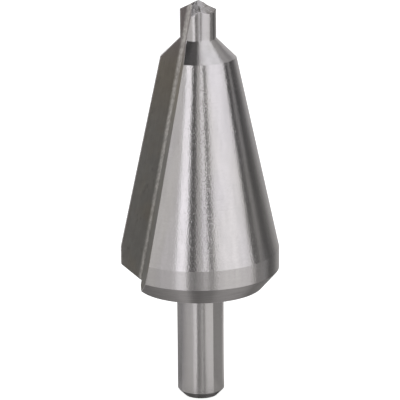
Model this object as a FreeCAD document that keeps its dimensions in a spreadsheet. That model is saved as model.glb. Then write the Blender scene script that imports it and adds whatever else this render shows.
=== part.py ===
"""Conical sheet-metal drill: one piece of high-speed steel, turned and ground.

The tool stands on the end of its shank with the drilling point up.  Z is the axis of rotation,
Z = 0 is the flat end of the shank, and X runs along the two cutting edges.  From the bottom up
the piece has a round shank with three clamping flats, a flat underside, a back chamfer, a
cylindrical rim, the long cone that opens the hole, a short entry cone, and a pilot with a
two-lip point.  Two straight flutes half a turn apart give it its cutting edges.  It cuts
clockwise as seen from the shank.

Lengths are in millimetres and angles in degrees.
"""
import os

import FreeCAD, Part
import Sketcher

# The driving sizes.  Each is written once, here, and read from the spreadsheet everywhere else.
SIZES = [
    # shank, from its flat end up to the underside of the cutting head
    ("shank_diameter", 9.0),
    ("shank_length", 22.4),
    ("shank_end_chamfer", 1.35),
    ("shoulder_fillet", 0.4),
    ("flat_count", 3),
    ("flat_depth", 0.18),
    ("flat_azimuth", -41.0),
    # turned form of the cutting head, from the underside up
    ("underside_diameter", 24.4),
    ("back_chamfer_height", 3.5),
    ("rim_diameter", 30.5),
    ("rim_height", 4.2),
    ("cone_top_diameter", 14.6),
    ("cone_length", 37.5),
    ("entry_cone_length", 3.8),
    ("pilot_diameter", 6.9),
    ("pilot_length", 5.6),
    # the two flutes: L-shaped notches, each with a flat rake face and a leaning heel wall
    ("flute_count", 2),
    ("rake_offset", 0.2),
    ("root_distance_at_apex", 1.0),
    ("root_distance_at_rim", 10.08),
    ("root_radius", 0.8),
    ("heel_lean", 2.2),
    # two-lip point: flanks that fall away behind the lips, and the thinning of the web
    ("point_angle", 130.0),
    ("lip_relief", 19.0),
    ("chisel_offset", 0.12),
    ("thinning_start", 0.25),
    ("thinning_angle", 49.0),
    ("thinning_lean", 22.0),
    ("thinning_radius", 0.15),
    # clearance ground on the cone behind each cutting edge: how far the cone lies inside the
    # rim's size at the edge, and how far and which way its grinding axis is shifted
    ("cone_relief_start", 0.03),
    ("cone_relief_shift", 0.05),
    ("cone_relief_bearing", 60.0),
    # the back corner of each cutting edge, ground off so that the tool backs out freely
    ("corner_rise", 0.7),
    ("corner_angle", 50.2),
    ("corner_relief", 18.0),
    # length of the blank above the finished point
    ("grinding_stock", 0.5),
]

doc = FreeCAD.newDocument("cone_drill")

sheet = doc.addObject("Spreadsheet::Sheet", "Sizes")
for row, (alias, value) in enumerate(SIZES, start=1):
    sheet.set("A%d" % row, alias)
    sheet.set("B%d" % row, str(value))
    sheet.setAlias("B%d" % row, alias)
doc.recompute()

# Radii and heights as spreadsheet expressions.  The heights are stacked up from the shank end.
SHANK_RADIUS = "Sizes.shank_diameter / 2"
UNDERSIDE_RADIUS = "Sizes.underside_diameter / 2"
RIM_RADIUS = "Sizes.rim_diameter / 2"
CONE_TOP_RADIUS = "Sizes.cone_top_diameter / 2"
PILOT_RADIUS = "Sizes.pilot_diameter / 2"

UNDERSIDE = "Sizes.shank_length"
RIM_BOTTOM = UNDERSIDE + " + Sizes.back_chamfer_height"
RIM_TOP = RIM_BOTTOM + " + Sizes.rim_height"
CONE_TOP = RIM_TOP + " + Sizes.cone_length"
PILOT_BASE = CONE_TOP + " + Sizes.entry_cone_length"
LIP_CORNER = PILOT_BASE + " + Sizes.pilot_length"
APEX = LIP_CORNER + " + " + PILOT_RADIUS + " / tan(Sizes.point_angle / 2)"
BLANK_END = APEX + " + Sizes.grinding_stock"

# From anywhere inside the piece, a cut that is this wide leaves it.
REACH = "Sizes.rim_diameter"

body = doc.addObject("PartDesign::Body", "ConeDrill")
body.Label = "cone_drill"
body.Placement = FreeCAD.Placement()


def origin_feature(role):
    """The plane or axis of the body's own origin with this role."""
    return next(item for item in body.Origin.OriginFeatures if item.Role == role)


def new_sketch(name, plane, offset=("0", "0", "0"), turn_axis=(0, 0, 1), turn="0"):
    """A sketch on an origin plane, moved by three expressions and turned by a fourth."""
    sketch = body.newObject("Sketcher::SketchObject", name)
    sketch.AttachmentSupport = (origin_feature(plane), "")
    sketch.MapMode = "FlatFace"
    # The quarter turn only fixes the axis of the turn: the expressions then set every value.
    quarter_turn = FreeCAD.Rotation(FreeCAD.Vector(*turn_axis), 90)
    sketch.AttachmentOffset = FreeCAD.Placement(FreeCAD.Vector(), quarter_turn)
    for letter, expression in zip("xyz", offset):
        sketch.setExpression("AttachmentOffset.Base." + letter, expression)
    sketch.setExpression("AttachmentOffset.Rotation.Angle", turn)
    return sketch


def grinding_sketch(name, start, tilt):
    """A sketch square to a pass of the grinding wheel.

    The pass runs through the point start, and leans from the Z axis by tilt about the Y axis.
    In the sketch, X points away from the axis of the tool and Y is the Y of the tool.
    """
    return new_sketch(name, "XY_Plane", start, (0, 1, 0), tilt)


def pin(sketch, curve, end, place):
    """Hold one end of a curve at a place given as two expressions."""
    for kind, expression in zip(("DistanceX", "DistanceY"), place):
        index = sketch.addConstraint(Sketcher.Constraint(kind, -1, 1, curve, end, 1.0))
        sketch.setExpression("Constraints[%d]" % index, expression)


def draw_lines(sketch, drafts, corners):
    """Straight lines from draft to draft, then held at the corners, pairs of expressions."""
    for first, second in zip(drafts, drafts[1:]):
        sketch.addGeometry(Part.LineSegment(first, second), False)
    last_line = len(corners) - 2
    for line in range(last_line):
        sketch.addConstraint(Sketcher.Constraint("Coincident", line, 2, line + 1, 1))
    for line, corner in enumerate(corners[:-1]):
        pin(sketch, line, 1, corner)
    pin(sketch, last_line, 2, corners[-1])
    return last_line


def draw_polygon(sketch, corners):
    """A closed outline of straight lines."""
    drafts = [FreeCAD.Vector(step, step * step, 0) for step in range(len(corners))]
    last_line = draw_lines(sketch, drafts, corners)
    closing = sketch.addGeometry(Part.LineSegment(drafts[-1], drafts[0]), False)
    sketch.addConstraint(Sketcher.Constraint("Coincident", last_line, 2, closing, 1))
    sketch.addConstraint(Sketcher.Constraint("Coincident", closing, 2, 0, 1))


def draw_notch(sketch, lean, radius):
    """An L-shaped notch with its inner corner, the root, at the origin of the sketch.

    Its rake wall lies along X.  Its heel wall runs along Y and leans past square by lean.  The
    root is rounded by an arc that touches both walls at the same distance from the corner.
    """
    drafts = [FreeCAD.Vector(x, y, 0) for x, y in ((1, 0), (9, 0), (9, 9), (0, 9), (0, 1))]
    touch = "%s / tan(45 + %s / 2)" % (radius, lean)
    last_line = draw_lines(sketch, drafts, [
        (touch, "0"),
        (REACH, "0"),
        (REACH, REACH),
        ("-%s * tan(%s)" % (REACH, lean), REACH),
        ("-%s * sin(%s)" % (touch, lean), "%s * cos(%s)" % (touch, lean)),
    ])
    bulge = FreeCAD.Vector(0.3, 0.3, 0)
    root = sketch.addGeometry(Part.Arc(drafts[-1], bulge, drafts[0]), False)
    sketch.addConstraint(Sketcher.Constraint("Coincident", last_line, 2, root, 1))
    sketch.addConstraint(Sketcher.Constraint("Coincident", root, 2, 0, 1))
    index = sketch.addConstraint(Sketcher.Constraint("DistanceX", -1, 1, root, 3, 1.0))
    sketch.setExpression("Constraints[%d]" % index, touch)


def grind_through(name, sketch):
    """A cut along the whole pass of the wheel, both ways from its sketch."""
    cut = body.newObject("PartDesign::Pocket", name)
    cut.Profile = sketch
    cut.SideType = "Symmetric"
    cut.Type = "ThroughAll"
    return cut


def polar_pattern(name, originals, count):
    """Copies of some cuts, spaced evenly round the axis of the tool."""
    pattern = body.newObject("PartDesign::PolarPattern", name)
    pattern.Originals = originals
    pattern.Axis = (origin_feature("Z_Axis"), [""])
    pattern.Angle = 360
    pattern.setExpression("Occurrences", count)
    body.Tip = pattern
    return pattern


# %% Turned blank.  The pilot is left long, because the point is ground into its end.
blank_sketch = new_sketch("BlankProfile", "XZ_Plane")
draw_polygon(blank_sketch, [
    ("0", "0"),
    (SHANK_RADIUS + " - Sizes.shank_end_chamfer", "0"),
    (SHANK_RADIUS, "Sizes.shank_end_chamfer"),
    (SHANK_RADIUS, UNDERSIDE),
    (UNDERSIDE_RADIUS, UNDERSIDE),
    (RIM_RADIUS, RIM_BOTTOM),
    (RIM_RADIUS, RIM_TOP),
    (CONE_TOP_RADIUS, CONE_TOP),
    (PILOT_RADIUS, PILOT_BASE),
    (PILOT_RADIUS, BLANK_END),
    ("0", BLANK_END),
])
blank = body.newObject("PartDesign::Revolution", "Blank")
blank.Profile = blank_sketch
blank.ReferenceAxis = (origin_feature("Z_Axis"), [""])
blank.Angle = 360
doc.recompute()

# %% Fillet in the corner between the shank and the underside.
shoulder = sheet.get("shank_length")
shoulder_edges = [
    "Edge%d" % number
    for number, edge in enumerate(blank.Shape.Edges, start=1)
    if isinstance(edge.Curve, Part.Circle)
    and abs(edge.Curve.Center.z - shoulder) < 1e-6
    and abs(edge.Curve.Radius - sheet.get("shank_diameter") / 2) < 1e-6
]
fillet = body.newObject("PartDesign::Fillet", "ShoulderFillet")
fillet.Base = (blank, shoulder_edges)
fillet.setExpression("Radius", "Sizes.shoulder_fillet")
doc.recompute()

# %% Three flats that stop the shank from turning in the chuck.  They end at the fillet.
flat_sketch = new_sketch("FlatSection", "XY_Plane", turn="Sizes.flat_azimuth")
flat_face = SHANK_RADIUS + " - Sizes.flat_depth"
draw_polygon(flat_sketch, [
    (flat_face, "-(%s)" % SHANK_RADIUS),
    (REACH, "-(%s)" % SHANK_RADIUS),
    (REACH, SHANK_RADIUS),
    (flat_face, SHANK_RADIUS),
])
flat = body.newObject("PartDesign::Pocket", "ShankFlat")
flat.Profile = flat_sketch
flat.Type = "Length"
flat.Reversed = True
flat.setExpression("Length", UNDERSIDE + " - Sizes.shoulder_fillet")
flats = polar_pattern("ShankFlats", [flat], "Sizes.flat_count")
doc.recompute()

# %% Cone clearance.  Each land is ground about an axis that is shifted a little, so that its
# surface starts at nearly full size on the cutting edge and sinks evenly towards the heel.  The
# rim below keeps its full size, and guides the tool in the finished hole.
SHIFT_X = "Sizes.cone_relief_shift * cos(Sizes.cone_relief_bearing)"
SHIFT_Y = "Sizes.cone_relief_shift * sin(Sizes.cone_relief_bearing)"
GROUND_OFF = "(Sizes.cone_relief_start + %s)" % SHIFT_X
CONE_SLOPE = "(%s - %s) / Sizes.cone_length" % (RIM_RADIUS, CONE_TOP_RADIUS)
relief_foot = "%s + %s * Sizes.rim_height - %s" % (RIM_RADIUS, CONE_SLOPE, GROUND_OFF)
relief_head = "%s - %s * Sizes.entry_cone_length - %s" % (CONE_TOP_RADIUS, CONE_SLOPE, GROUND_OFF)
relief_sketch = new_sketch("ConeReliefSection", "XZ_Plane", (SHIFT_X, "0", "-" + SHIFT_Y))
draw_polygon(relief_sketch, [
    (relief_foot, RIM_BOTTOM),
    (REACH, RIM_BOTTOM),
    (REACH, PILOT_BASE),
    (relief_head, PILOT_BASE),
])
cone_relief = body.newObject("PartDesign::Groove", "ConeRelief")
cone_relief.Profile = relief_sketch
cone_relief.ReferenceAxis = (relief_sketch, ["V_Axis"])
cone_relief.Reversed = True
cone_relief.setExpression("Angle", "360 / Sizes.flute_count")

# %% Flank of the point: a plane that holds one lip and falls away behind it.
flank_sketch = grinding_sketch("FlankSection", ("0", "0", APEX), "-Sizes.point_angle / 2")
flank_drop = "%s * tan(Sizes.lip_relief)" % REACH
draw_polygon(flank_sketch, [
    ("-" + flank_drop, "-" + REACH),
    (REACH, "-" + REACH),
    (REACH, REACH),
    (flank_drop, REACH),
])
flank = grind_through("PointFlank", flank_sketch)

# %% Web thinning: a small notch that carries the lip on from the flute almost to the axis.
thinning_start = ("Sizes.thinning_start", "Sizes.chisel_offset", APEX)
thinning_sketch = grinding_sketch("ThinningSection", thinning_start, "-Sizes.thinning_angle")
draw_notch(thinning_sketch, "Sizes.thinning_lean", "Sizes.thinning_radius")
thinning = grind_through("WebThinning", thinning_sketch)

# %% Flute.  Its root line climbs from the rim to the point and comes nearer to the axis, so
# that the core keeps its share of the cone.
ROOT_RUN = "Sizes.root_distance_at_rim - Sizes.root_distance_at_apex"
ROOT_TILT = "-atan((%s) / (%s - (%s)))" % (ROOT_RUN, APEX, RIM_TOP)
flute_start = ("Sizes.root_distance_at_apex", "-Sizes.rake_offset", APEX)
flute_sketch = grinding_sketch("FluteSection", flute_start, ROOT_TILT)
draw_notch(flute_sketch, "Sizes.heel_lean", "Sizes.root_radius")
flute = grind_through("Flute", flute_sketch)

# %% Back corner of the cutting edge.  The wheel passes down and inwards across the corner that
# the rake face makes with the rim and the back chamfer, and its cut dies out along the land.
# On the flute's side it takes the rounding of the root along, so that no fin is left there.
corner_start = (
    RIM_RADIUS + " + Sizes.back_chamfer_height * tan(Sizes.corner_angle)",
    "-Sizes.rake_offset",
    RIM_BOTTOM + " + Sizes.corner_rise + Sizes.back_chamfer_height",
)
corner_sketch = grinding_sketch("CornerSection", corner_start, "Sizes.corner_angle")
draw_polygon(corner_sketch, [
    ("0", "Sizes.root_radius"),
    ("0", "0"),
    (REACH + " * tan(Sizes.corner_relief)", "-" + REACH),
    (REACH, "-" + REACH),
    (REACH, "Sizes.root_radius"),
])
corner = body.newObject("PartDesign::Pocket", "BackCorner")
corner.Profile = corner_sketch
corner.Type = "Length"
corner_drop = "2.5 * Sizes.back_chamfer_height + Sizes.corner_rise"
corner.setExpression("Length", "(%s) / cos(Sizes.corner_angle)" % corner_drop)

lands = polar_pattern(
    "GroundLands", [cone_relief, flank, thinning, flute, corner], "Sizes.flute_count"
)
doc.recompute()

# %% Checks: every object is up to date, every cut took some metal, and one solid is left.
for item in doc.Objects:
    if "Invalid" in item.State or "Error" in item.State:
        raise RuntimeError("%s did not recompute: %s" % (item.Name, item.State))

stages = [blank, fillet, flats, cone_relief, flank, thinning, flute, corner, lands]
for before, after in zip(stages, stages[1:]):
    removed = before.Shape.Volume - after.Shape.Volume
    print("%-14s removes %9.3f mm3" % (after.Name, removed))
    if after is not fillet and removed <= 0:
        raise RuntimeError(after.Name + " cuts nothing")

shape = body.Shape
if shape.isNull() or not shape.isValid() or len(shape.Solids) != 1:
    raise RuntimeError("the drill is not one valid solid")

box = shape.BoundBox
print("size %.2f x %.2f x %.2f mm" % (box.XLength, box.YLength, box.ZLength))
print("volume %.1f mm3, %d faces" % (shape.Volume, len(shape.Faces)))

os.makedirs("parts", exist_ok=True)
shape.exportStep("parts/%s.step" % body.Label)
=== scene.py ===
# %% [markdown]
# # A conical sheet-metal drill, dressed for its portrait
# The tool is one piece of high-speed steel, so the solid from the workshop drawing is already the
# right shape, with exact normals.  What it lacks is its finish: grinding marks that run round the
# turned faces, darker flutes with marks along them, and edges that catch the light.  This script
# gives it those, and builds the small studio that shows them.

# %% Load the frame
from math import cos, radians, sin, tan

import bpy
from mathutils import Matrix, Vector


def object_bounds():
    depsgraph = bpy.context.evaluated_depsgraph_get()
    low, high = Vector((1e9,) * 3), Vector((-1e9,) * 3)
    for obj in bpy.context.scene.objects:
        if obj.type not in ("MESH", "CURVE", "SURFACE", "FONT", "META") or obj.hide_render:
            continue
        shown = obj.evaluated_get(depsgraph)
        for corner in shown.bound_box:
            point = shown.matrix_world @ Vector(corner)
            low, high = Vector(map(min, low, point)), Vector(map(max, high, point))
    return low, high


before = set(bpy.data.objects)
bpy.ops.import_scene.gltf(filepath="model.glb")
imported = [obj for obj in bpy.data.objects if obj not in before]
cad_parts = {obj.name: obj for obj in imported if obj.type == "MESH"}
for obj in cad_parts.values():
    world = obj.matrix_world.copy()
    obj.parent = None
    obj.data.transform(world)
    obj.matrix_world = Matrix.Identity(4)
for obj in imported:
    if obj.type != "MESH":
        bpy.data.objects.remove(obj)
cad_low, cad_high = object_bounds()
MM = 0.001
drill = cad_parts["cone_drill"]
print("drill", [round(side / MM, 2) for side in cad_high - cad_low], "mm")

# %% [markdown]
# ## The camera
# Pictures of a small tool are taken from well back with a long lens, so that the shank doesn't
# look thinner than the head only because it is farther away.  The camera is rolled by half a
# degree, because a tool set up by hand leans a touch, and a tiny shift centres the tool.

# %% Camera
CAMERA_DISTANCE = 720 * MM
CAMERA_ELEVATION = radians(16.805)
CAMERA_ROLL = radians(-0.489)
LENS, SENSOR_WIDTH = 338.2, 36
SHIFT = (0.00116, 0.0028)
NEAREST_SEEN = 10 * MM
TARGET = Vector((0, 0, 39 * MM))

camera_data = bpy.data.cameras.new("portrait_camera")
camera_data.lens = LENS
camera_data.sensor_width = SENSOR_WIDTH
camera_data.shift_x, camera_data.shift_y = SHIFT
camera_data.clip_start = NEAREST_SEEN
camera = bpy.data.objects.new("portrait_camera", camera_data)
bpy.context.scene.collection.objects.link(camera)
backwards = Vector((0, -cos(CAMERA_ELEVATION), sin(CAMERA_ELEVATION)))
upright = backwards.to_track_quat("Z", "Y").to_matrix().to_4x4()
camera.matrix_world = (
    Matrix.Translation(TARGET + backwards * CAMERA_DISTANCE)
    @ upright
    @ Matrix.Rotation(CAMERA_ROLL, 4, "Z")
)
bpy.context.scene.camera = camera
bpy.context.scene.view_settings.view_transform = "Standard"
print("camera", [round(value, 3) for value in camera.location])

# %% [markdown]
# ## Small helpers for node trees
# A node is easier to read in code when it is made, filled and linked in one line.  The first
# helper does that for any node: an input gets a link where its value is another node's socket,
# and a plain number or colour elsewhere.  The others use it for the nodes that come up most.

# %% Node helpers
def add_node(tree, kind, **settings):
    """A node, with its properties set by name and its inputs by socket name or number."""
    inputs = settings.pop("inputs", {})
    node = tree.nodes.new(kind)
    for name, value in settings.items():
        setattr(node, name, value)
    for key, value in inputs.items():
        if isinstance(value, bpy.types.NodeSocket):
            tree.links.new(value, node.inputs[key])
        else:
            node.inputs[key].default_value = value
    return node


def calc(tree, operation, first, second=0.0, third=0.0, clamp=False):
    """The output of a Math node."""
    return add_node(tree, "ShaderNodeMath", operation=operation, use_clamp=clamp,
                    inputs={0: first, 1: second, 2: third}).outputs[0]


def ramp(tree, value, low, high, start=0.0, end=1.0):
    """A value mapped from low..high to start..end and held at both ends."""
    return add_node(tree, "ShaderNodeMapRange", clamp=True,
                    inputs={0: value, 1: low, 2: high, 3: start, 4: end}).outputs[0]


def blend_numbers(tree, factor, first, second):
    """first where factor is 0, second where it is 1."""
    return add_node(tree, "ShaderNodeMix", data_type="FLOAT",
                    inputs={0: factor, 2: first, 3: second}).outputs[0]


def blend_colours(tree, factor, first, second, how="MIX"):
    """Two colours blended by a factor, with one of the paint program's blend modes."""
    return add_node(tree, "ShaderNodeMix", data_type="RGBA", blend_type=how,
                    inputs={0: factor, 6: first, 7: second}).outputs[2]


def new_tree(owner):
    """The empty node tree of a material or a world."""
    owner.use_nodes = True
    owner.node_tree.nodes.clear()
    return owner.node_tree


print("helpers ready for Blender", bpy.app.version_string)

# %% [markdown]
# ## The studio: a white sweep
# The floor is a plain pale disc.  A little of its white is its own glow, seen by the camera and in
# reflections alike, so it stays white without more light falling on the tool, and the rest is
# ordinary diffuse white that takes the tool's soft shadow.  The air is white to the camera and in
# reflections too, and lights the floor a little less than that.

# %% Floor and air
FLOOR_GLOW, FLOOR_WHITE = 0.86, 0.55
FLOOR_RADIUS, FLOOR_CORNERS = 3.0, 96
AIR_FILL, AIR_SEEN = 0.75, 1.0


def seen_rays(tree):
    """1 for rays from the camera and for reflected and transmitted rays, and 0 for the rest."""
    path = add_node(tree, "ShaderNodeLightPath")
    both = calc(tree, "MAXIMUM", path.outputs["Is Camera Ray"], path.outputs["Is Glossy Ray"])
    return calc(tree, "MAXIMUM", both, path.outputs["Is Transmission Ray"])


floor_finish = bpy.data.materials.new("studio_floor")
tree = new_tree(floor_finish)
matte = add_node(tree, "ShaderNodeBsdfDiffuse", inputs={"Color": (*(FLOOR_WHITE,) * 3, 1)})
glow_strength = calc(tree, "MULTIPLY", seen_rays(tree), FLOOR_GLOW)
glow = add_node(tree, "ShaderNodeEmission", inputs={"Strength": glow_strength})
both = add_node(tree, "ShaderNodeAddShader", inputs={0: matte.outputs[0], 1: glow.outputs[0]})
add_node(tree, "ShaderNodeOutputMaterial", inputs={"Surface": both.outputs[0]})

bpy.ops.mesh.primitive_circle_add(vertices=FLOOR_CORNERS, radius=FLOOR_RADIUS, fill_type="NGON")
floor = bpy.context.object
floor.name = "studio_floor"
floor.location.z = cad_low.z
floor.data.materials.append(floor_finish)

world = bpy.data.worlds.new("studio_air")
bpy.context.scene.world = world
tree = new_tree(world)
air_strength = ramp(tree, seen_rays(tree), 0, 1, AIR_FILL, AIR_SEEN)
air = add_node(tree, "ShaderNodeBackground", inputs={"Strength": air_strength})
add_node(tree, "ShaderNodeOutputWorld", inputs={"Surface": air.outputs[0]})
print("floor", 2 * FLOOR_RADIUS, "m across")

# %% [markdown]
# ## The studio: grey paper round the tool
# Bright metal has hardly any colour of its own: it shows the room.  In a studio, strips of grey
# and black paper stand round a steel tool, and each one becomes a streak along it.  Here the
# paper is a sheet whose grey is kept at its corners.  Grey paper is a little warm and white paper
# a little cool.  It glows by itself, and it shows only in the metal.

# %% Paper
GREY_PAPER = (1.0, 0.985, 0.955, 1)
WHITE_PAPER = (1.0, 0.99, 1.005, 1)
PAPER_WHITENS = (0.6, 0.95)

paper_finish = bpy.data.materials.new("studio_paper")
tree = new_tree(paper_finish)
tone = add_node(tree, "ShaderNodeAttribute", attribute_name="tone").outputs["Fac"]
tint = blend_colours(tree, ramp(tree, tone, *PAPER_WHITENS), GREY_PAPER, WHITE_PAPER)
light = add_node(tree, "ShaderNodeEmission", inputs={"Color": tint, "Strength": tone})
add_node(tree, "ShaderNodeOutputMaterial", inputs={"Surface": light.outputs[0]})
print(paper_finish.name, "has", len(tree.nodes), "nodes")


def paper(name, bearings, rings):
    """Paper round the tool's axis: each ring is a radius, a height and its greys by bearing."""
    corners, quads, greys = [], [], []
    for radius, height, tones in rings:
        for bearing, tone in zip(bearings, tones):
            turn = radians(bearing)
            corners.append((radius * sin(turn), -radius * cos(turn), height))
            greys.append(tone)
    stops = len(bearings)
    for ring in range(len(rings) - 1):
        for stop in range(stops - 1):
            first = ring * stops + stop
            quads.append((first, first + 1, first + stops + 1, first + stops))
    mesh = bpy.data.meshes.new(name)
    mesh.from_pydata(corners, [], quads)
    mesh.attributes.new("tone", "FLOAT", "POINT").data.foreach_set("value", greys)
    mesh.materials.append(paper_finish)
    sheet = bpy.data.objects.new(name, mesh)
    bpy.context.scene.collection.objects.link(sheet)
    for seen_by in ("camera", "diffuse", "transmission", "volume_scatter", "shadow"):
        setattr(sheet, "visible_" + seen_by, False)
    print(name, "has", len(quads), "pieces of paper")


# %% [markdown]
# ## The ring and the table
# The upright faces of the tool show a ring of paper that stands round it, and a disc of paper on
# the table.  The greys of both change with the bearing: 0 is in front of the tool and 90 is on its
# right.  Close to the tool the disc's grey carries a painted shade for the head's shadow on the
# table, except at the back, where it is kept lighter.  The painted shade is darkest round the end
# of the shank.

# %% Ring and disc
# bearing, grey of the standing ring, grey of the disc on the table
ROOM = [
    (-180, 0.34, 0.44), (-172, 0.86, 0.40), (-150, 0.98, 0.34), (-144, 0.30, 0.28),
    (-134, 0.06, 0.24), (-128, 0.10, 0.22), (-122, 0.50, 0.20), (-104, 0.84, 0.18),
    (-90, 0.76, 0.30), (-70, 0.62, 0.44), (-40, 0.65, 0.50), (-37, 0.68, 0.52),
    (-32, 1.31, 0.66), (-20, 1.31, 0.74), (-17, 0.20, 0.40), (-13, 0.04, 0.32),
    (-8, 0.05, 0.26), (-4, 0.50, 0.26), (2, 0.56, 0.26), (6, 1.04, 0.34),
    (11, 0.96, 0.36), (14, 0.08, 0.30), (17, 0.10, 0.32), (20, 0.46, 0.40),
    (25, 0.86, 0.54), (34, 0.98, 0.57), (54, 1.06, 0.57), (64, 0.94, 0.56),
    (76, 0.88, 0.52), (80, 0.50, 0.42), (83, 0.04, 0.28), (89, 0.02, 0.23),
    (93, 0.12, 0.23), (97, 0.26, 0.26), (101, 0.18, 0.27), (107, 0.04, 0.16),
    (112, 0.08, 0.10), (120, 0.10, 0.11), (128, 0.16, 0.16), (136, 0.28, 0.25),
    (144, 0.40, 0.33), (152, 0.48, 0.38), (160, 0.49, 0.42), (180, 0.34, 0.44),
]
PAPER_RADIUS, PAPER_ELEVATION = 500 * MM, radians(36)
PAPER_TOP = PAPER_RADIUS * tan(PAPER_ELEVATION)
TABLE_TOP = cad_low.z + 0.05 * MM
# the share of the disc's grey that the painted shade leaves near the tool, and the least grey
# beyond a bearing
NEAR_SHARE = 0.82
NEAR_LEAST = [(84, 0.27), (115, 0.40), (140, 0.68)]
# the painted shade's greys round the end of the shank
SHADE, HALF_SHADE = 0.09, 0.28


def near_grey(bearing, grey):
    """The disc's grey near the tool, darkened by the painted shade."""
    least = max((value for start, value in NEAR_LEAST if bearing > start), default=0)
    return max(NEAR_SHARE * grey, least)


bearings, standing, lying = zip(*ROOM)
near = [near_grey(bearing, grey) for bearing, grey in zip(bearings, lying)]
shade, half_shade = [SHADE] * len(ROOM), [HALF_SHADE] * len(ROOM)
disc_greys = [
    (0.5 * MM, shade), (5 * MM, shade), (6.5 * MM, half_shade), (13 * MM, near), (44 * MM, near),
    (60 * MM, lying), (PAPER_RADIUS, lying),
]
paper("paper_ring", bearings, [(PAPER_RADIUS, 0, standing), (PAPER_RADIUS, PAPER_TOP, standing)])
paper("paper_disc", bearings, [(radius, TABLE_TOP, greys) for radius, greys in disc_greys])

# %% [markdown]
# ## The studio: flags overhead
# The short cone below the pilot looks almost straight up.  A black flag over the left half of the
# studio, whose edge fades to grey in front of the tool, and a low grey one at the back on the right
# leave it one clean bright streak.  A white card at the back on the left lights the point's facets.

# %% Flags
# each flag: a grey at each bearing, its lowest and highest elevation, its share of the radius
FLAG_STEPS = 8
FLAGS = {
    "black_flag": (
        [(-185, 0.03), (-140, 0.03), (-95, 0.03), (-62, 0.03), (-46, 0.065), (-32, 0.10),
         (-18, 0.09), (-8, 0.13), (2, 0.23), (14, 0.42), (24, 0.66), (34, 0.84), (46, 1.0)],
        33, 90, 1.0,
    ),
    "grey_flag": ([(88, 0.50), (96, 0.36), (150, 0.36), (180, 0.36)], 33, 52, 1.0),
    "point_card": ([(-170, 1.15), (-130, 1.15), (-104, 1.0)], 10, 50, 0.98),
}

for name, (stops, low, high, nearness) in FLAGS.items():
    turns, greys = zip(*stops)
    radius = PAPER_RADIUS * nearness
    rings = []
    for step in range(FLAG_STEPS + 1):
        lift = radians(low + (high - low) * step / FLAG_STEPS)
        rings.append((radius * cos(lift), radius * sin(lift), greys))
    paper(name, turns, rings)

# %% [markdown]
# ## The lamp
# One soft box, high on the right, gives the floor its light and its faint shadow.  The metal shows
# the white air above the tool in its place, so the box is left out of reflections.

# %% Lamp
BOX_SIDE, BOX_POWER = 0.5, 3
BOX_PLACE = Vector((0.45, -0.25, 0.9))

key_data = bpy.data.lights.new("key_softbox", "AREA")
key_data.shape = "SQUARE"
key_data.size = BOX_SIDE
key_data.energy = BOX_POWER
key = bpy.data.objects.new("key_softbox", key_data)
bpy.context.scene.collection.objects.link(key)
key.location = BOX_PLACE
key.rotation_mode = "QUATERNION"
key.rotation_quaternion = (BOX_PLACE - TARGET).to_track_quat("Z", "Y")
key.visible_glossy = False
print("soft box", round((BOX_PLACE - TARGET).length, 2), "m from the tool")

# %% [markdown]
# ## Where the turned skin is
# The blank was turned on a lathe and then ground: everything that still lies on the turned outline
# shows marks that run round the axis, and everything cut deeper was ground by a wheel that ran
# along the flute.  The outline's radius at each height tells the two apart.  These parts are plain
# nodes in the steel's own tree, because they also steer the direction of its highlight.

# %% The turned outline
SHANK_RADIUS, SHANK_LENGTH, END_CHAMFER = 4.5 * MM, 22.4 * MM, 1.35 * MM
HEAD_START = SHANK_LENGTH + 0.01 * MM
UNDERSIDE_RADIUS, RIM_RADIUS = 12.2 * MM, 15.25 * MM
RIM_BOTTOM, RIM_TOP = 25.9 * MM, 30.1 * MM
CONE_TOP, CONE_TOP_RADIUS = 67.6 * MM, 7.3 * MM
PILOT_BASE, PILOT_RADIUS = 71.4 * MM, 3.45 * MM
SKIN_TOLERANCE = 0.2 * MM

steel = bpy.data.materials.new("ground_high_speed_steel")
tree = new_tree(steel)
place = add_node(tree, "ShaderNodeTexCoord").outputs["Object"]
east, north, height = add_node(tree, "ShaderNodeSeparateXYZ", inputs={0: place}).outputs[:3]
flat_place = add_node(tree, "ShaderNodeCombineXYZ", inputs={0: east, 1: north})
radius_here = add_node(tree, "ShaderNodeVectorMath", operation="LENGTH",
                       inputs={0: flat_place.outputs[0]}).outputs["Value"]
outline = ramp(tree, height, 0, END_CHAMFER, SHANK_RADIUS - END_CHAMFER, SHANK_RADIUS)
above_shank = calc(tree, "GREATER_THAN", height, HEAD_START)
outline = calc(tree, "MULTIPLY_ADD", above_shank, UNDERSIDE_RADIUS - SHANK_RADIUS, outline)
for low, high, growth in (
    (SHANK_LENGTH, RIM_BOTTOM, RIM_RADIUS - UNDERSIDE_RADIUS),
    (RIM_TOP, CONE_TOP, CONE_TOP_RADIUS - RIM_RADIUS),
    (CONE_TOP, PILOT_BASE, PILOT_RADIUS - CONE_TOP_RADIUS),
):
    outline = calc(tree, "ADD", outline, ramp(tree, height, low, high, 0, growth))
depth = calc(tree, "SUBTRACT", outline, radius_here)
skin = calc(tree, "LESS_THAN", depth, SKIN_TOLERANCE)
print("turned skin reaches", round(SKIN_TOLERANCE / MM, 2), "mm below the outline")

# %% [markdown]
# ## Where the flute's root is
# The wheel that ground a flute had a rounded corner, and left a narrow trough where the rake face
# meets the heel wall.  That rounded trough catches the light as a thin bright line, which is
# painted into the steel's colour here as a painted highlight, wider near the point.  The line
# climbs from the rim to the point and leans towards the axis, so it is found from the distance to
# that line.

# %% The flute's root
ROOT_AT_FOOT, ROOT_SLOPE = 15.714 * MM, 0.18718
RAKE_OFFSET, ROOT_RADIUS = 0.2 * MM, 0.8 * MM
# keeps the two flutes apart in the noise, in metres
FLUTES_APART = 0.5

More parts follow.
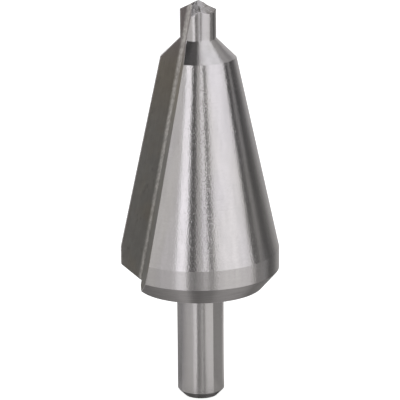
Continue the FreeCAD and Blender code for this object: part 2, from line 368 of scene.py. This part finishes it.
side = calc(tree, "SIGN", east)
root_line = calc(tree, "MULTIPLY_ADD", height, -ROOT_SLOPE, ROOT_AT_FOOT)
outwards = calc(tree, "SUBTRACT", calc(tree, "ABSOLUTE", east), root_line)
forwards = calc(tree, "SUBTRACT", calc(tree, "MULTIPLY", side, north), RAKE_OFFSET)
apart = calc(tree, "MULTIPLY_ADD", side, FLUTES_APART, height)
flute_place = add_node(tree, "ShaderNodeCombineXYZ",
                       inputs={0: outwards, 1: forwards, 2: apart}).outputs[0]
flute_lean = calc(tree, "MULTIPLY", side, -ROOT_SLOPE)
flute_line = add_node(tree, "ShaderNodeCombineXYZ",
                      inputs={0: flute_lean, 1: 0.0, 2: 1.0}).outputs[0]
print("the flutes' roots lean by a slope of", ROOT_SLOPE)

# %% [markdown]
# ## The painted highlight along the root
# The painted highlight starts sharply in the rounded root and dies away slowly out along the rake
# face, and the heel wall gets none of it.  Noise makes its sides ragged.

# %% The root's painted highlight
# where the painted highlight starts and ends beside the root's line, at the lower and the upper
# height
HIGHLIGHT_HEIGHTS = (36 * MM, 74 * MM)
INNER_SIDE, OUTER_SIDE = (0.05 * MM, -0.14 * MM), (0.26 * MM, 0.50 * MM)
INNER_FADE, OUTER_FADE = 0.12 * MM, 0.48 * MM
RAGGED_WIDTH, RAGGED_SCALE = 0.5 * MM, (2600, 2600, 1500)
RAKE_FADE = (0.25 * ROOT_RADIUS, 0.6 * ROOT_RADIUS)
NOISE_ROUGHNESS = 0.6


def noise(tree, here, scale, detail=2.0):
    """Noise at a place that is squeezed by the three numbers of scale, per metre."""
    squeezed = add_node(tree, "ShaderNodeVectorMath", operation="MULTIPLY",
                        inputs={0: here, 1: scale})
    return add_node(tree, "ShaderNodeTexNoise", inputs={
        "Vector": squeezed.outputs[0], "Scale": 1.0, "Detail": detail,
        "Roughness": NOISE_ROUGHNESS,
    }).outputs[0]


ragged = calc(tree, "MULTIPLY_ADD", noise(tree, flute_place, RAGGED_SCALE),
              RAGGED_WIDTH, -RAGGED_WIDTH / 2)
highlight_place = calc(tree, "ADD", outwards, ragged)
inner = ramp(tree, height, *HIGHLIGHT_HEIGHTS, *INNER_SIDE)
outer = ramp(tree, height, *HIGHLIGHT_HEIGHTS, *OUTER_SIDE)
rises = ramp(tree, highlight_place, calc(tree, "SUBTRACT", inner, INNER_FADE),
             calc(tree, "ADD", inner, INNER_FADE))
falls = ramp(tree, highlight_place, outer, calc(tree, "ADD", outer, OUTER_FADE), 1, 0)
on_rake = ramp(tree, forwards, *RAKE_FADE, 1, 0)
root = calc(tree, "MULTIPLY", calc(tree, "MULTIPLY", rises, falls), on_rake)
print("polish", [round((out - inn) / MM, 2) for inn, out in zip(INNER_SIDE, OUTER_SIDE)], "mm wide")

# %% [markdown]
# ## Grinding marks
# A grinding wheel leaves very fine scratches of uneven depth.  A fine even grain makes the edges of
# a reflection look ragged, and long faint lines, squeezed across and stretched along the cut,
# change how dull the steel is.  Both come from noise in one group, used for each kind of face.

# %% Grinding marks as a node group
GROUP_DETAILS = {"Grain": 0.5, "Lines": 3.0}


def new_group(name, inputs, outputs):
    """An empty shader node group with named sockets, and its input and output nodes."""
    made = bpy.data.node_groups.new(name, "ShaderNodeTree")
    for socket, kind in inputs:
        made.interface.new_socket(socket, in_out="INPUT", socket_type=kind)
    for socket, kind in outputs:
        made.interface.new_socket(socket, in_out="OUTPUT", socket_type=kind)
    return made, add_node(made, "NodeGroupInput"), add_node(made, "NodeGroupOutput")


grinding_marks, entry, result = new_group(
    "grinding_marks",
    [("Place", "NodeSocketVector"), ("Grain", "NodeSocketVector"), ("Lines", "NodeSocketVector")],
    [("Grain", "NodeSocketFloat"), ("Lines", "NodeSocketFloat")],
)
for output, detail in GROUP_DETAILS.items():
    texture = noise(grinding_marks, entry.outputs["Place"], entry.outputs[output], detail)
    grinding_marks.links.new(texture, result.inputs[output])
print(grinding_marks.name, "has", len(grinding_marks.nodes), "nodes")

# %% [markdown]
# ## The marks on each kind of face
# The lathe's and the grinder's marks run round the skin, and the flute's marks run along it.  The
# skin also carries sparse specks that stand a little higher than the grain.

# %% Marks on the skin and in the flutes
# scales per metre: the grain's, and the lines'
ROUND_MARKS = ((3600, 3600, 3800), (220, 220, 5200))
FLUTE_MARKS = ((2600, 2600, 1700), (3800, 3800, 260))
# noise's scale per metre, its two limits, the two values it is drawn out to, and its detail
SPECKS = (2500, 2500, 3200), (0.60, 0.74), (0, 1), 1.0
SPECK_HEIGHT = 0.45


def mottle(here, scale, limits, values, detail):
    """Noise between two limits, drawn out to two values."""
    return ramp(tree, noise(tree, here, scale, detail), *limits, *values)


def marks(here, scales):
    """The outputs of the grinding marks' group at a place."""
    return add_node(tree, "ShaderNodeGroup", node_tree=grinding_marks, inputs={
        "Place": here, "Grain": scales[0], "Lines": scales[1],
    }).outputs


round_marks = marks(place, ROUND_MARKS)
flute_marks = marks(flute_place, FLUTE_MARKS)
skin_grain = calc(tree, "MULTIPLY_ADD", mottle(place, *SPECKS), SPECK_HEIGHT,
                  round_marks["Grain"])
grain = blend_numbers(tree, skin, flute_marks["Grain"], skin_grain)
lines = blend_numbers(tree, skin, flute_marks["Lines"], round_marks["Lines"])
print("grain of about", round(1 / (ROUND_MARKS[0][0] * MM), 2), "mm on the skin")

# %% [markdown]
# ## Edges
# A ground edge is never perfectly sharp: it carries a bright line, about a tenth of a millimetre
# wide, and the pilot's foot is rounded a little more.  The Bevel node rounds the normal near an
# edge without touching the mesh, and where the rounded normal differs from the true one there is
# an edge.

# %% Edges as a node group
EDGE_RADIUS, FOOT_RADIUS = 0.12 * MM, 0.32 * MM
FOOT_REACH = (0.3 * MM, 0.6 * MM)
EDGE_SAMPLES = 6
# the agreement of the two normals on an edge and off it
ON_EDGE, OFF_EDGE = 0.80, 0.995

honed_edges, entry, result = new_group(
    "honed_edges",
    [("Radius", "NodeSocketFloat")],
    [("Normal", "NodeSocketVector"), ("Edge", "NodeSocketFloat")],
)
rounded = add_node(honed_edges, "ShaderNodeBevel", samples=EDGE_SAMPLES,
                   inputs={"Radius": entry.outputs["Radius"]})
true_normal = add_node(honed_edges, "ShaderNodeNewGeometry")
agreement = add_node(honed_edges, "ShaderNodeVectorMath", operation="DOT_PRODUCT",
                     inputs={0: rounded.outputs[0], 1: true_normal.outputs["Normal"]})
edge = ramp(honed_edges, agreement.outputs["Value"], ON_EDGE, OFF_EDGE, 1, 0)
honed_edges.links.new(rounded.outputs[0], result.inputs["Normal"])
honed_edges.links.new(edge, result.inputs["Edge"])

from_foot = calc(tree, "ABSOLUTE", calc(tree, "SUBTRACT", height, PILOT_BASE))
edge_radius = ramp(tree, from_foot, *FOOT_REACH, FOOT_RADIUS, EDGE_RADIUS)
edges = add_node(tree, "ShaderNodeGroup", node_tree=honed_edges,
                 inputs={"Radius": edge_radius}).outputs
print(honed_edges.name, "has", len(honed_edges.nodes), "nodes")

# %% [markdown]
# ## The chamfers
# The chamfers at the back and on the shank's end were left dull from the lathe.  Masks from height
# and from the direction a face looks in pick them out.

# %% Masks for the chamfers
LOOKS_DOWN = -0.3
BACK_MIDDLE, BACK_HALF = (SHANK_LENGTH + RIM_BOTTOM) / 2, (RIM_BOTTOM - SHANK_LENGTH) / 2

normal = add_node(tree, "ShaderNodeNewGeometry").outputs["Normal"]
facing = add_node(tree, "ShaderNodeSeparateXYZ", inputs={0: normal}).outputs[2]
skin_below = calc(tree, "MULTIPLY", skin, calc(tree, "LESS_THAN", facing, LOOKS_DOWN))
on_back = calc(tree, "MULTIPLY", calc(tree, "COMPARE", height, BACK_MIDDLE, BACK_HALF), skin_below)
on_end = calc(tree, "LESS_THAN", height, END_CHAMFER)
turned_dull = calc(tree, "MAXIMUM", on_back, on_end)
print("back chamfer", round(2 * BACK_HALF / MM, 2), "mm high")

# %% [markdown]
# ## The point
# The faces of the point were ground again when it was sharpened, and its web was thinned by one
# more cut on each side.  The plane of that cut parts the thinned facet from the flank beside it.
# Low down on the flank, next to the cut, a dark spot is painted in: a painted shade in the corner
# beside the cut.

# %% Masks for the point
POINT_BASE, LOOKS_UP = 74 * MM, 0.5
# the plane of the web's thinning, the same on both sides of the point once one is turned round
THINNING_PLACE = (-0.61 * MM, -1.91 * MM, 77.33 * MM)
THINNING_NORMAL = (-0.61, -0.37, 0.70)
FLANK_SIDE = -0.01 * MM
# the painted shade beside the cut: its fades at the top and the bottom, and across towards the cut
SPOT_TOP, SPOT_BOTTOM = (77.95 * MM, 77.65 * MM), (76.95 * MM, 77.15 * MM)
SPOT_SIDE = (-0.42 * MM, -0.22 * MM)

sharpened = calc(tree, "MULTIPLY", calc(tree, "GREATER_THAN", height, POINT_BASE),
                 calc(tree, "GREATER_THAN", facing, LOOKS_UP))
# 1 in front and -1 behind, which turns the back half of the point on to the front half
lip = calc(tree, "MULTIPLY", calc(tree, "SIGN", north), -1.0)
lip_place = add_node(tree, "ShaderNodeCombineXYZ", inputs={
    0: calc(tree, "MULTIPLY", lip, east), 1: calc(tree, "MULTIPLY", lip, north), 2: height,
}).outputs[0]
from_thinning = add_node(tree, "ShaderNodeVectorMath", operation="SUBTRACT",
                         inputs={0: lip_place, 1: THINNING_PLACE})
over_thinning = add_node(tree, "ShaderNodeVectorMath", operation="DOT_PRODUCT",
                         inputs={0: from_thinning.outputs[0], 1: THINNING_NORMAL}).outputs["Value"]
on_flank = calc(tree, "MULTIPLY", sharpened, calc(tree, "LESS_THAN", over_thinning, FLANK_SIDE))
low_down = calc(tree, "MULTIPLY", ramp(tree, height, *SPOT_TOP), ramp(tree, height, *SPOT_BOTTOM))
shade_beside_thinning = calc(tree, "MULTIPLY", calc(tree, "MULTIPLY", on_flank, low_down),
                       ramp(tree, over_thinning, *SPOT_SIDE))
print("point above", round(POINT_BASE / MM, 1), "mm,", len(tree.nodes), "nodes so far")

# %% [markdown]
# ## The colours of the flutes
# The flutes keep the olive grey of hardening, browner in patches and towards the point, and a
# little violet beside the pilot.  They have small dark pits and faint streaks along the cut, and a
# pale painted highlight along their root.

# %% Flute colours
OLIVE_STEEL = (0.352, 0.343, 0.331, 1)
BROWN_STEEL = (0.365, 0.338, 0.300, 1)
VIOLET_STEEL = (0.385, 0.350, 0.350, 1)
# dark as the pits, and also the painted shade beside the point's thinning cut
PIT_AND_SHADE_STEEL = (0.17, 0.165, 0.155, 1)
# the pale colour of the painted highlight along the root
ROOT_HIGHLIGHT_STEEL = (0.86, 0.835, 0.81, 1)
BROWNS, TURNS_VIOLET = (52 * MM, 62 * MM), (66 * MM, 71 * MM)
# noise's scale, limits, values and detail, as for the specks
PATCHES = (230, 230, 120), (0.50, 0.68), (0, 0.7), 3.0
PITS = (1100, 1100, 500), (0.66, 0.80), (0, 0.4), 1.0
ROOT_HIGHLIGHT_PATCHES = (2600, 2600, 1300), (0.35, 0.65), (0.45, 1.0), 2.0
CLOUDS = (900, 900, 500), (0.3, 0.7), (0.94, 1.06), 2.0
FLUTE_STREAKS = (0.3, 0.7, 0.92, 1.08)


def shade_by(colour, share):
    """A colour made lighter or darker by a share of it."""
    grey = add_node(tree, "ShaderNodeCombineColor", inputs={0: share, 1: share, 2: share})
    return blend_colours(tree, 1.0, colour, grey.outputs[0], "MULTIPLY")


brown = calc(tree, "MAXIMUM", mottle(flute_place, *PATCHES), ramp(tree, height, *BROWNS))
flute_colour = blend_colours(tree, brown, OLIVE_STEEL, BROWN_STEEL)
flute_colour = blend_colours(tree, ramp(tree, height, *TURNS_VIOLET), flute_colour, VIOLET_STEEL)
flute_colour = blend_colours(tree, mottle(flute_place, *PITS), flute_colour, PIT_AND_SHADE_STEEL)
# the painted highlight along the root, broken into patches by noise
root_highlight = calc(tree, "MULTIPLY", root, mottle(flute_place, *ROOT_HIGHLIGHT_PATCHES))
flute_colour = blend_colours(tree, root_highlight, flute_colour, ROOT_HIGHLIGHT_STEEL)
streaks = ramp(tree, flute_marks["Lines"], *FLUTE_STREAKS)
flute_colour = shade_by(flute_colour,
                        calc(tree, "MULTIPLY", streaks, mottle(flute_place, *CLOUDS)))
print("flutes from", OLIVE_STEEL[:3], "to", VIOLET_STEEL[:3])

# %% [markdown]
# ## The colours of the skin
# The turned skin is bright and very slightly violet, and a little warmer in patches.  It has faint
# bands along it, fine spots, and fine scratches round it.

# %% Skin colours
STEEL = (0.80, 0.775, 0.800, 1)
WARM_STEEL = (0.81, 0.785, 0.79, 1)
SHEEN = (150, 150, 25), (0.42, 0.58), (0, 1), 1.0
BANDS = (700, 700, 30), (0.35, 0.65), (0.95, 1.01), 1.0
FINE_SPOTS = (1900, 1900, 1900), (0.35, 0.65), (0.98, 1.0), 1.0
SKIN_SCRATCHES = (0.35, 0.65, 0.97, 1.01)

skin_colour = blend_colours(tree, mottle(place, *SHEEN), STEEL, WARM_STEEL)
bands = calc(tree, "MULTIPLY", mottle(place, *BANDS), mottle(place, *FINE_SPOTS))
scratches = ramp(tree, round_marks["Lines"], *SKIN_SCRATCHES)
skin_colour = shade_by(skin_colour, calc(tree, "MULTIPLY", bands, scratches))
colour = blend_colours(tree, skin, flute_colour, skin_colour)
print("skin from", STEEL[:3], "to", WARM_STEEL[:3])

# %% [markdown]
# ## The colours of the chamfers and the point
# The chamfers are duller, with the lathe's lines.  The thinned facets of the point were ground
# bright, with the marks of the stone on them.  The flanks are rubbed darker away from the thinning.

# %% Chamfer and point colours
DULL_STEEL = (0.545, 0.525, 0.53, 1)
TURNED_STEEL = (0.45, 0.433, 0.437, 1)
THINNED_STEEL = (0.74, 0.715, 0.71, 1)
RUBBED_STEEL = (0.50, 0.475, 0.47, 1)
CHAMFER_LINES = (0.35, 0.65)
LAP_MARKS = (3000, 3000, 240), (0.35, 0.65), (0, 1), 2.0
RUBS = (900, 900, 900), (0.34, 0.62), (-0.4, 0.4), 1.0
RUBBED_FADE = (-2.0 * MM, -0.7 * MM)

turning = ramp(tree, round_marks["Lines"], *CHAMFER_LINES)
dull_colour = blend_colours(tree, turning, DULL_STEEL, TURNED_STEEL)
colour = blend_colours(tree, turned_dull, colour, dull_colour)

lapped = blend_colours(tree, mottle(lip_place, *LAP_MARKS), THINNED_STEEL, STEEL)
colour = blend_colours(tree, sharpened, colour, lapped)
rubbed = calc(tree, "ADD", ramp(tree, over_thinning, *RUBBED_FADE), mottle(lip_place, *RUBS),
              clamp=True)
colour = blend_colours(tree, on_flank, colour, blend_colours(tree, rubbed, RUBBED_STEEL, STEEL))
# a painted shade, as dark as the pits, low down on the flank beside the cut
colour = blend_colours(tree, shade_beside_thinning, colour, PIT_AND_SHADE_STEEL)
print("chamfers from", DULL_STEEL[:3], "to", TURNED_STEEL[:3])

# %% [markdown]
# ## The light on the edges
# Bare steel shows along every edge, and this lighter colour is also a painted highlight; it is
# stronger on the bright skin than in the flutes.

# %% Edge colour
EDGE_LIGHT_IN_FLUTES, EDGE_LIGHT_ON_SKIN = 0.15, 0.5

edge_share = ramp(tree, skin, 0, 1, EDGE_LIGHT_IN_FLUTES, EDGE_LIGHT_ON_SKIN)
# edges painted towards bare steel: partly wear, partly a painted highlight
colour = blend_colours(tree, calc(tree, "MULTIPLY", edges["Edge"], edge_share), colour, STEEL)
print("the steel's tree has", len(tree.nodes), "nodes so far")

# %% [markdown]
# ## The steel
# One material covers the whole tool, because it is one piece of steel.  It is fully metallic.  The
# highlight is stretched across the marks, so on the turned skin each strip of paper becomes a
# streak that runs from the rim up to the point.

# %% Ground steel
# each pair of roughnesses is for the shallow and the deep marks
LINE_LIMITS, GRAIN_LIMITS = (0.3, 0.7), (0.35, 0.65)
FLUTE_ROUGHNESS, SKIN_ROUGHNESS = (0.36, 0.48), (0.22, 0.24)
CHAMFER_ROUGHNESS, POINT_ROUGHNESS = 0.38, (0.22, 0.40)
GRAIN_DEPTH = 0.0145 * MM

roughness = blend_numbers(tree, skin, ramp(tree, lines, *LINE_LIMITS, *FLUTE_ROUGHNESS),
                          ramp(tree, lines, *LINE_LIMITS, *SKIN_ROUGHNESS))
roughness = blend_numbers(tree, turned_dull, roughness, CHAMFER_ROUGHNESS)
roughness = blend_numbers(tree, sharpened, roughness,
                          ramp(tree, grain, *GRAIN_LIMITS, *POINT_ROUGHNESS))
bump = add_node(tree, "ShaderNodeBump", inputs={
    "Strength": 1.0, "Distance": GRAIN_DEPTH, "Height": grain, "Normal": edges["Normal"],
})
round_line = add_node(tree, "ShaderNodeTangent", direction_type="RADIAL", axis="Z").outputs[0]
marks_line = add_node(tree, "ShaderNodeMix", data_type="VECTOR",
                      inputs={0: skin, 4: flute_line, 5: round_line}).outputs[1]
surface = add_node(tree, "ShaderNodeBsdfPrincipled", inputs={
    "Base Color": colour, "Metallic": 1.0, "Roughness": roughness,
    "Anisotropic": 1.0, "Anisotropic Rotation": 0.25,
    "Normal": bump.outputs[0], "Tangent": marks_line,
})
add_node(tree, "ShaderNodeOutputMaterial", inputs={"Surface": surface.outputs[0]})

if not drill.material_slots:
    drill.data.materials.append(None)
for slot in drill.material_slots:
    slot.link = "OBJECT"
    slot.material = steel
print("steel on", len(drill.material_slots), "slots,", len(drill.data.polygons), "faces")
